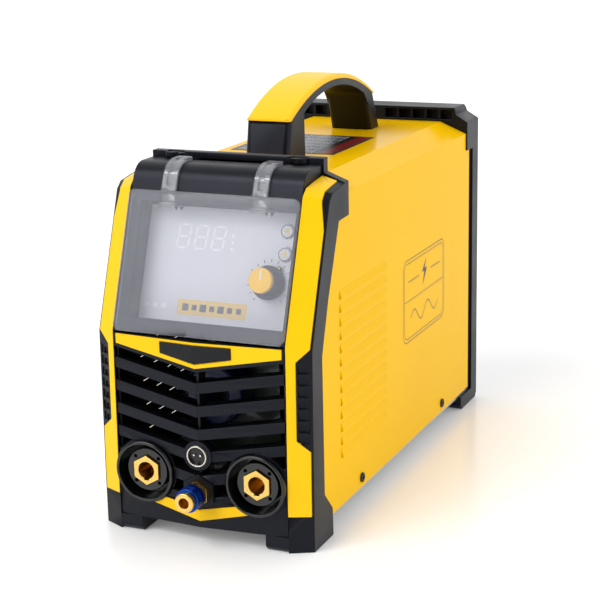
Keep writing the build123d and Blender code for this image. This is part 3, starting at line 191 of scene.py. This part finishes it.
# Painted shade: the inside faces of the walls and the roof get a dark grey in place of the yellow coat, to stand
# for the shade inside the cover.
painted_shade_inside = surface("painted_shade_inside_sheet", ("#26272B", "#33343A"), (0.5, 0.65), tone_mm=40)
louvre_slope_degrees = 4
under_roof = 240 * mm
cover = rounded("top_cover", powder_coat, 0.25, smooth_degrees=louvre_slope_degrees)
cover.data.materials.append(painted_shade_inside)
# Faces inside the walls and under the roof take the painted shade.
for face in cover.data.polygons:
    wall_inside = face.normal.x * face.center.x < -0.5 * abs(face.center.x)
    roof_inside = face.normal.z < -0.3 and face.center.z > under_roof
    if wall_inside or roof_inside:
        face.material_index = 1


# Cover and guard screws: steel pan heads with a recess, blackened in hot oxide, driven into the
# folded flanges of the base plate.
black_oxide = surface("black_oxide_steel", ("#17181A", "#232427"), (0.3, 0.42), {"Metallic": 0.7}, tone_mm=8,
                      grain_mm=0.4, depth_mm=0.01)
rounded("cover_screws", black_oxide, 0.3)
rounded("fan_screws", black_oxide, 0.3)


# Side badge: a plain double frame with rounded corners, a divider, a spark and a wave, printed
# in thin dark lines on the right of the cover after baking.


def new_piece(name, mesh, finish, body):
    """A piece from a mesh, with its finish and the body that it rides on."""
    mesh.materials.clear()
    mesh.materials.append(finish)
    piece = bpy.data.objects.new(name, mesh)
    bpy.context.scene.collection.objects.link(piece)
    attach(piece, body)
    return piece


def slab(outline, thick):
    """A flat plate from an outline on XY in millimetres, standing on Z = 0, as vertices and faces."""
    count = len(outline)
    low = [(x * mm, y * mm, 0) for x, y in outline]
    high = [(x * mm, y * mm, thick * mm) for x, y in outline]
    faces = [tuple(range(count - 1, -1, -1)), tuple(range(count, 2 * count))]
    for here in range(count):
        after = (here + 1) % count
        faces.append((here, after, count + after, count + here))
    return low + high, faces


def line(points, wide, thick, closed=False):
    """A printed line of one width along points on XY in millimetres, with mitred corners."""
    count = len(points)
    left, right = [], []
    for here, point in enumerate(points):
        before = points[here - 1] if closed or here else point
        after = points[(here + 1) % count] if closed or here < count - 1 else point
        step_in = (Vector(point) - Vector(before)).normalized() if before != point else None
        step_out = (Vector(after) - Vector(point)).normalized() if after != point else None
        step_in = step_in or step_out
        step_out = step_out or step_in
        across = Vector((-step_in.y - step_out.y, step_in.x + step_out.x)).normalized()
        reach = wide / 2 / max(0.4, across.dot(Vector((-step_in.y, step_in.x))))
        left.append(Vector(point) + across * reach)
        right.append(Vector(point) - across * reach)
    spots = []
    for pair in zip(left, right):
        for height in (0, thick * mm):
            spots.extend((spot.x * mm, spot.y * mm, height) for spot in pair)
    faces = []
    for here in range(count if closed else count - 1):
        a, b = 4 * here, 4 * ((here + 1) % count)
        faces.extend([(a, b, b + 1, a + 1), (a + 2, a + 3, b + 3, b + 2), (a, a + 2, b + 2, b),
                      (a + 1, b + 1, b + 3, a + 3)])
    if not closed:
        last = 4 * (count - 1)
        faces.extend([(0, 1, 3, 2), (last, last + 2, last + 3, last + 1)])
    return spots, faces


def joined(name, shapes, place):
    """One mesh from several flat shapes, set on a face of the machine by a matrix."""
    shape = bmesh.new()
    for spots, faces in shapes:
        made = [shape.verts.new(place @ Vector(spot)) for spot in spots]
        for face in faces:
            shape.faces.new([made[corner] for corner in face])
    bmesh.ops.recalc_face_normals(shape, faces=shape.faces)
    mesh = bpy.data.meshes.new(name)
    shape.to_mesh(mesh)
    shape.free()
    return mesh


def rounded_frame(half_x, half_y, radius):
    """A rectangle with round corners, as points on XY in millimetres."""
    points = []
    for turn, (side_x, side_y) in enumerate(((1, 1), (-1, 1), (-1, -1), (1, -1))):
        for step in range(7):
            angle = pi / 2 * turn + pi / 12 * step
            points.append((side_x * (half_x - radius) + radius * cos(angle),
                           side_y * (half_y - radius) + radius * sin(angle)))
    return points


def one_ink(name, code, roughness=0.4):
    """A printed ink or film of one colour, with a faint grain."""
    return surface(name, (code, code), (roughness, roughness + 0.08), grain_mm=0.8, depth_mm=0.008)


louvre_stand_out = 1.4
badge_half_x, badge_half_y = 51.7, 34.6
frame_gap = 3.0
inner_x, inner_y = badge_half_x - frame_gap, badge_half_y - frame_gap
sheet_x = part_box("top_cover")[1].x - louvre_stand_out * mm
badge_place = Matrix.Translation((sheet_x, 55.8 * mm, 136.7 * mm)) @ Matrix(
    ((0, 0, 1, 0), (1, 0, 0, 0), (0, 1, 0, 0), (0, 0, 0, 1)))
wave = [(-34 + 1.7 * step, -16 + 6 * sin(pi / 10 * step)) for step in range(41)]
bolt = [(5, 28), (-6, 17), (0, 17), (-5, 5), (7, 19), (1, 19)]
badge_lines = [
    line(rounded_frame(badge_half_x, badge_half_y, 8), 0.75, 0.04, closed=True),
    line(rounded_frame(inner_x, inner_y, 6), 0.65, 0.04, closed=True),
    line([(-inner_x, 0), (inner_x, 0)], 0.6, 0.04),
    line(wave, 0.9, 0.04),
    line([(-40, 16), (-14, 16)], 0.8, 0.04),
    line([(16, 16), (40, 16)], 0.8, 0.04),
    slab(bolt, 0.04),
]
brown_ink = one_ink("brown_side_print", "#1C1304")
new_piece("side_badge", joined("side_badge", badge_lines, badge_place), brown_ink, "root")


# Black mouldings: ABS, injection moulded in spark-eroded tools, so the skin has a fine matt grain
# and a bluish sheen at low angles. They screw to the sheet and carry the feet and the rims.
black_abs = surface("moulded_black_abs", ("#060709", "#0B0C10"), (0.34, 0.46),
                    {"Specular IOR Level": 0.27, "Specular Tint": paint("#E4E8FF")}, tone_mm=50,
                    grain_mm=0.55, depth_mm=0.03)
rounded("front_bezel", black_abs, 0.5, whole=False)
rounded("rear_bezel", black_abs, 0.6)
rounded("display_hood", black_abs, 0.4, whole=False)
rounded("front_grille", black_abs, 0.3, whole=False)
rounded("handle_body", black_abs, 0.35, whole=False)
rounded("knob", black_abs, 0.3)


# Yellow mouldings: ABS coloured in the melt, satin and brighter than the sheet, snapped into
# seats in the black parts: two side strips, two V bands, the top of the grip and the knob's face.
yellow_abs = surface("moulded_yellow_abs", ("#F8C200", "#FDCB04"), (0.3, 0.4),
                     {"Specular IOR Level": 0.2}, tone_mm=80, grain_mm=0.5, depth_mm=0.018)
for strip in ("right_side_trim", "left_side_trim", "upper_chevron_trim", "lower_chevron_trim"):
    rounded(strip, yellow_abs, 0.35)
rounded("handle_cap", yellow_abs, 0.4, whole=False)
rounded("knob_cap", yellow_abs, 0.2)


# Name plate: a blank plate of black film under a dome of cast clear resin, glossy and deep, and
# bonded to the upper V band.
resin = surface("domed_black_resin", ("#0A0B0D", "#101216"), (0.08, 0.14),
                {"Coat Weight": 0.1, "Coat Roughness": 0.03, "Specular IOR Level": 0.15}, tone_mm=30,
                grain_mm=6, depth_mm=0.01)
rounded("name_plate", resin, 0.45)


# Display panel: a silver-grey printed polyester film on the hood's back wall, with two round
# keys pressed up through it. It is matt and slightly lavender.
panel_film = surface("printed_polyester_film", ("#D2D3DE", "#DBDCE6"), (0.35, 0.45), tone_mm=70,
                     grain_mm=0.4, depth_mm=0.01)
rounded("display_overlay", panel_film, 0.1)
rounded("lower_button", panel_film, 0.4)
rounded("upper_button", panel_film, 0.4)


# Panel print: unlit digits, a plain yellow band, key arrows in rings, scale ticks round the knob
# and small marks, screen printed on the film, and dark triangles under the arms. Repeated marks
# are set out by geometry nodes.
knob_joint = next(joint for joint in frame["joints"] if joint["name"] == "knob_turn")
outward = Vector(knob_joint["axis"])
upward = Vector((0, outward.z, -outward.y))
knob_at = Vector(knob_joint["pos_m"])
panel_turn = Matrix((Vector((1, 0, 0)), upward, outward)).transposed()
film_depth = 22.0


def on_panel(x, rise, lift=0.0):
    """A point on the film: x across and rise above the knob's axis, in millimetres."""
    return Vector((x * mm, knob_at.y, knob_at.z)) + upward * rise * mm + outward * (lift - film_depth) * mm


def panel_place(x, rise, lift=0.0, turn=0.0):
    """The matrix of a mark on the film, turned about the way out of the panel."""
    turned = panel_turn @ Matrix.Rotation(turn, 3, "Z")
    return Matrix.Translation(on_panel(x, rise, lift)) @ turned.to_4x4()


def copies_tree():
    """Geometry nodes that set a template on every point, turned by the point's own angles."""
    tree = bpy.data.node_groups.new("set_out_copies", "GeometryNodeTree")
    for name, kind in (("Points", "Geometry"), ("Template", "Object"), ("Size", "Float"),
                       ("Size Spread", "Float"), ("Seed", "Int"), ("Finish", "Material")):
        tree.interface.new_socket(name, in_out="INPUT", socket_type="NodeSocket" + kind)
    tree.interface.new_socket("Copies", in_out="OUTPUT", socket_type="NodeSocketGeometry")
    start = add(tree, "NodeGroupInput")
    shape = add(tree, "GeometryNodeObjectInfo", {"Object": start.outputs["Template"]})
    turn = add(tree, "GeometryNodeInputNamedAttribute", {"Name": "turn"}, data_type="FLOAT_VECTOR")
    low = add(tree, "ShaderNodeMath", {0: start.outputs["Size"], 1: start.outputs["Size Spread"]},
              operation="SUBTRACT")
    high = add(tree, "ShaderNodeMath", {0: start.outputs["Size"], 1: start.outputs["Size Spread"]},
               operation="ADD")
    spread = add(tree, "FunctionNodeRandomValue", {"Seed": start.outputs["Seed"], 2: low.outputs[0],
                                                   3: high.outputs[0]}, data_type="FLOAT")
    points = add(tree, "GeometryNodeMeshToPoints", {"Mesh": start.outputs["Points"]})
    placed = add(tree, "GeometryNodeInstanceOnPoints",
                 {"Points": points.outputs["Points"], "Instance": shape.outputs["Geometry"],
                  "Rotation": turn.outputs["Attribute"], "Scale": spread.outputs[1]})
    real = add(tree, "GeometryNodeRealizeInstances", {"Geometry": placed.outputs["Instances"]})
    dressed = add(tree, "GeometryNodeSetMaterial",
                  {"Geometry": real.outputs["Geometry"], "Material": start.outputs["Finish"]})
    add(tree, "NodeGroupOutput", {"Copies": dressed.outputs["Geometry"]})
    return tree


set_out = copies_tree()


def set_out_copies(name, template, places, finish, body, spread=0.0, seed=7):
    """Sets copies of a flat shape at each place's matrix and keeps them as one plain piece."""
    seeds = bpy.data.meshes.new(name + "_points")
    seeds.from_pydata([place.to_translation() for place in places], [], [])
    angles = seeds.attributes.new("turn", "FLOAT_VECTOR", "POINT")
    for number, place in enumerate(places):
        angles.data[number].vector = place.to_euler()
    holder = bpy.data.objects.new(name + "_points", seeds)
    pattern = bpy.data.objects.new(name + "_pattern", joined(name, [template], Matrix()))
    bpy.context.scene.collection.objects.link(holder)
    bpy.context.scene.collection.objects.link(pattern)
    nodes = holder.modifiers.new("copies", "NODES")
    nodes.node_group = set_out
    values = {"Template": pattern, "Size": 1.0, "Size Spread": spread, "Seed": seed, "Finish": finish}
    for socket in set_out.interface.items_tree:
        if socket.in_out == "INPUT" and socket.name in values:
            nodes[socket.identifier] = values[socket.name]
    mesh = bpy.data.meshes.new_from_object(holder.evaluated_get(bpy.context.evaluated_depsgraph_get()))
    bpy.data.objects.remove(holder)
    bpy.data.objects.remove(pattern)
    return new_piece(name, mesh, finish, body)


def box_outline(half_x, half_y):
    """A plain rectangle, as points on XY in millimetres."""
    return [(-half_x, -half_y), (half_x, -half_y), (half_x, half_y), (-half_x, half_y)]


unlit = one_ink("unlit_segment_resin", "#ECEDF1", 0.3)
white_ink = one_ink("white_screen_print", "#ECEDF2")
grey_ink = one_ink("grey_screen_print", "#5B5D6A")
pale_yellow = one_ink("yellow_screen_print", "#EBCB78")
figure_pitch = 14.2
figures_start = -29.5
figures_rise = 29.5
segment_rise = 4.3
slant = 0.1
band_rise = -22.7
tick_radius = 16.2
bar = [(-3.8, 0), (-3.0, -0.75), (3.0, -0.75), (3.8, 0), (3.0, 0.75), (-3.0, 0.75)]
segments = []
for figure in range(3):
    middle = figures_start + figure_pitch * figure
    for level in (-2 * segment_rise, 0.0, 2 * segment_rise):
        segments.append(panel_place(middle + level * slant, figures_rise + level))
    for level in (-segment_rise, segment_rise):
        for side in (-4.6, 4.6):
            across = middle + side + level * slant
            segments.append(panel_place(across, figures_rise + level, turn=pi / 2 - slant))
set_out_copies("display_digits", slab(bar, 0.12), segments, unlit, "root")
dots = [panel_place(10.5, 22 + 5 * number) for number in range(3)]
set_out_copies("display_dots", slab(rounded_frame(1.2, 1.2, 1.2), 0.1), dots, unlit, "root")
new_piece("panel_band", joined("panel_band", [slab(rounded_frame(28, 5.8, 0.8), 0.08)],
                               panel_place(0, band_rise)), pale_yellow, "root")
band_marks = [panel_place(-21.6 + 7.2 * number, band_rise, 0.08) for number in range(7)]
set_out_copies("panel_band_marks", slab(box_outline(2.3, 2.4), 0.06), band_marks, grey_ink, "root",
               spread=0.2, seed=4)
small_marks = [panel_place(-53.5 + 7 * number, -23.1) for number in range(3)]
set_out_copies("panel_small_marks", slab(rounded_frame(2.0, 1.5, 0.6), 0.06), small_marks, white_ink, "root",
               spread=0.15, seed=2)
ticks = []
for number in range(15):
    angle = radians(-140 + 20 * number)
    across = knob_at.x / mm + tick_radius * sin(angle)
    ticks.append(panel_place(across, tick_radius * cos(angle), turn=-angle))
set_out_copies("knob_scale", slab(box_outline(0.3, 1.2), 0.06), ticks, grey_ink, "root")
# Four dark grey triangles on the film's top edge, a pair under each arm, drawn with the grey print material.
dark_triangle_places = [panel_place(side * 36.7 + step, 50.0) for side in (-1, 1) for step in (-2.2, 2.2)]
set_out_copies("panel_notches", slab([(-2, 1.2), (0, -2.2), (2, 1.2)], 0.06), dark_triangle_places, grey_ink, "root")
for key in ("lower", "upper"):
    low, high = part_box(key + "_button")
    centre = (low + high) / 2
    spot = panel_place(centre.x / mm, (centre - knob_at).dot(upward) / mm, 1.8)
    arrow = [slab([(-2.7, 0), (1.6, -2.5), (1.6, 2.5)], 0.1)]
    new_piece(key + "_key_arrow", joined("arrow", arrow, spot), pale_yellow, key + "_key")
    ring = [line(rounded_frame(4.5, 4.5, 4.5), 0.6, 0.08, closed=True)]
    new_piece(key + "_key_ring", joined("ring", ring, spot), grey_ink, key + "_key")
knob_face = film_depth - 5.2
skirt_face = film_depth - 19.1
pointer_turn = Matrix.Rotation(radians(-35), 4, "Z")
skirt_place = panel_place(knob_at.x / mm, 0, skirt_face) @ pointer_turn
new_piece("knob_pointer", joined("knob_pointer", [slab([(-1.5, 12.2), (1.5, 12.2), (0, 14.6)], 0.06)],
                                 skirt_place), yellow_abs, "control_knob")
new_piece("knob_line", joined("knob_line", [slab(box_outline(0.5, 3.8), 0.06)],
                              panel_place(knob_at.x / mm, 4.2, knob_face)), white_ink, "control_knob")


# Clear flap: an injection-moulded polycarbonate tray, lightly frosted inside so the panel shows
# through a haze, with two bright arms that hook over the hood to steel pins.


def clear_plastic(name, colours, alpha, roughness, gloss):
    """Polycarbonate of a set haze: the alpha is how much of what lies behind it is veiled."""
    skin = {"IOR": 1.585, "Alpha": alpha, "Coat Weight": gloss, "Coat Roughness": 0.05}
    return surface(name, colours, roughness, skin, tone_mm=90, grain_mm=3.0, depth_mm=0.01)


hazy = clear_plastic("hazy_polycarbonate", ("#B9BCC8", "#C8CAD6"), 0.15, (0.2, 0.28), 0.3)
# The second copy is lighter and glossier: on the arms it stands for their clear moulding, on the rim walls it is a
# painted highlight line round the flap.
clear_arms_and_painted_rim_highlight = clear_plastic("clear_polycarbonate", ("#A4A6AE", "#BABCC4"), 0.30, (0.04, 0.09), 1.0)
flap = rounded("clear_cover", hazy, 0.3, whole=False)
flap.data.materials.append(clear_arms_and_painted_rim_highlight)
arm_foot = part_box("clear_cover")[1].z - 34 * mm
arm_inside, arm_outside = 30.5 * mm, 43 * mm
# Faces on the arms and on the sideways rim walls take the lighter copy; on the rim walls it is a painted highlight
# line.
for face in flap.data.polygons:
    on_arm = face.center.z > arm_foot and arm_inside < abs(face.center.x) < arm_outside
    painted_highlight_rim = abs(face.normal.dot(outward)) < 0.5
    if on_arm or painted_highlight_rim:
        face.material_index = 1


# Output sockets: collars of glass-filled nylon from a polished mould, so their rims shine, round
# turned brass contacts, which are milled to a hexagon and left bare and bright.
polished_nylon = surface("polished_nylon", ("#090A0C", "#0E0F12"), (0.1, 0.17), {"Specular IOR Level": 0.5},
                         tone_mm=25, grain_mm=2.0, depth_mm=0.01)
rounded("socket_collars", polished_nylon, 0.5)
rounded("socket_contacts", brass, 0.35)


# Remote control socket: a brass shell with a rolled thread under bright nickel plate, round a
# black insert with two plated pins.
nickel = surface("nickel_plate", ("#B9B4AC", "#D4D0C8"), (0.16, 0.26), {"Metallic": 1.0}, tone_mm=12,
                 grain_mm=0.9, depth_mm=0.01)
rounded("remote_socket_shell", nickel, 0.25)
rounded("remote_socket_insert", nylon, 0.2, whole=False)
rounded("remote_socket_pins", nickel, 0.2)


# Gas quick coupler: a turned brass body and an aluminium sleeve, turned and anodised blue, that
# slides back on a spring.
anodised = surface("blue_anodised_aluminium", ("#08308A", "#0E41AA"), (0.22, 0.3),
                   {"Metallic": 0.85}, tone_mm=20, grain_mm=0.4, depth_mm=0.008, stretch=(1, 0.3, 1))
rounded("gas_coupler_body", brass, 0.25)
rounded("gas_coupler_sleeve", anodised, 0.15)


# Top label: a black printed film under the handle, with pale rows that stand for its small
# print and a red band along one edge. It is self-adhesive and lies flat on the sheet.
label_black = one_ink("black_label_film", "#16171B", 0.3)
label_pale = one_ink("pale_label_print", "#B4B6C0")
label_red = one_ink("red_label_print", "#7C1217", 0.3)
dress(("top_label",), label_black)
label_low, label_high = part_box("top_label")
row_pitch, column_pitch = 3.3, 14.2
row_places = []
for column in range(6):
    for row in range(20):
        row_x = label_low.x + (6 + row * row_pitch) * mm
        row_y = label_low.y + (9 + column * column_pitch) * mm
        row_places.append(Matrix.Translation((row_x, row_y, label_high.z)))
set_out_copies("label_rows", slab(box_outline(0.6, 5.0), 0.05), row_places, label_pale, "root",
               spread=0.22, seed=11)
half_label = (label_high.y - label_low.y) / mm / 2
red_place = Matrix.Translation((label_high.x - 8 * mm, (label_low.y + label_high.y) / 2, label_high.z))
new_piece("label_band", joined("label_band", [slab(rounded_frame(5.5, half_label - 2, 1), 0.05)], red_place),
          label_red, "root")


# Rear fittings: a steel panel painted black, an axial fan behind a moulded guard, a rocker
# switch, a nylon cable gland and a brass hose tail.
black_paint = surface("black_painted_steel", ("#141518", "#1C1D21"), (0.35, 0.45),
                      {"Specular IOR Level": 0.35}, tone_mm=60, grain_mm=1.0, depth_mm=0.015)
rounded("rear_panel", black_paint, 0.2)
for fitting in ("fan_guard", "fan_frame", "fan_rotor", "switch_body", "switch_rocker"):
    rounded(fitting, nylon, 0.3)
rounded("cable_gland", nylon, 0.3, whole=False)
rounded("gas_inlet", brass, 0.2)


# Studio: a pale satin floor and a white backdrop, a broad soft key from the upper left front, a
# broad fill from the right, and a narrow softbox over the front for the hood's highlight.
floor_side = 12000
floor_behind = 4000
floor_thick = 10
floor_gap = 0.1
floor_outline = [(-floor_side, -floor_side), (floor_side, -floor_side),
                 (floor_side, floor_behind), (-floor_side, floor_behind)]
floor_place = Matrix.Translation((0, 0, -(floor_thick + floor_gap) * mm))
floor = bpy.data.objects.new("floor", joined("floor", [slab(floor_outline, floor_thick)], floor_place))
floor_skin = {"Specular IOR Level": 0.3, "Emission Color": paint("#FFFFFF"), "Emission Strength": 0.12}
floor.data.materials.append(surface("pale_acrylic_floor", ("#F8F8F8", "#FAFAFA"), (0.2, 0.25), floor_skin,
                                    tone_mm=900, grain_mm=5, depth_mm=0.001))
bpy.context.scene.collection.objects.link(floor)


def soft_light(name, kind, at, strength, **shape):
    """A large soft source that points from its place at the middle of the machine."""
    lamp = bpy.data.lights.new(name, kind)
    lamp.energy = strength
    for setting, value in shape.items():
        setattr(lamp, setting, value)
    source = bpy.data.objects.new(name, lamp)
    source.location = at
    source.rotation_euler = (Vector(at) - Vector((0, 0, 0.15))).to_track_quat("Z", "Y").to_euler()
    bpy.context.scene.collection.objects.link(source)


soft_light("key_dome", "SUN", (-1.3, -2.1, 1.9), 1.9, angle=radians(50))
soft_light("side_dome", "SUN", (2.4, -0.6, 1.0), 0.92, angle=radians(60))
soft_light("hood_softbox", "AREA", (-0.5, -1.2, 1.5), 5, shape="RECTANGLE", size=0.9, size_y=0.25)

world = bpy.data.worlds.new("studio_backdrop")
world.use_nodes = True
tree = world.node_tree
backdrop = add(tree, "ShaderNodeTexCoord")
axes = add(tree, "ShaderNodeSeparateXYZ", {"Vector": backdrop.outputs["Generated"]})
fall = add(tree, "ShaderNodeMapRange", {"Value": axes.outputs["Y"], "From Min": -0.35, "From Max": 0.25,
                                        "To Min": 0.16, "To Max": 1.12})
tree.links.new(fall.outputs["Result"], tree.nodes["Background"].inputs["Strength"])
tree.nodes["Background"].inputs["Color"].default_value = paint("#FFFFFF")
bpy.context.scene.world = world
bpy.context.scene.view_settings.view_transform = "Standard"

turn, tilt, roll = radians(23.6255), radians(14.6537), radians(-1.18157)
back = Vector((sin(turn) * cos(tilt), -cos(turn) * cos(tilt), sin(tilt)))
side = Vector((0, 0, 1)).cross(back).normalized()
over = back.cross(side)
view = Matrix((side * cos(roll) + over * sin(roll), over * cos(roll) - side * sin(roll), back)).transposed()
lens = bpy.data.cameras.new("camera")
lens.lens = 96.547
camera = bpy.data.objects.new("camera", lens)
camera_at = Vector((0.51294, -1.18438, 0.47236))
camera.matrix_world = Matrix.Translation(camera_at) @ view.to_4x4()
bpy.context.scene.collection.objects.link(camera)
bpy.context.scene.camera = camera
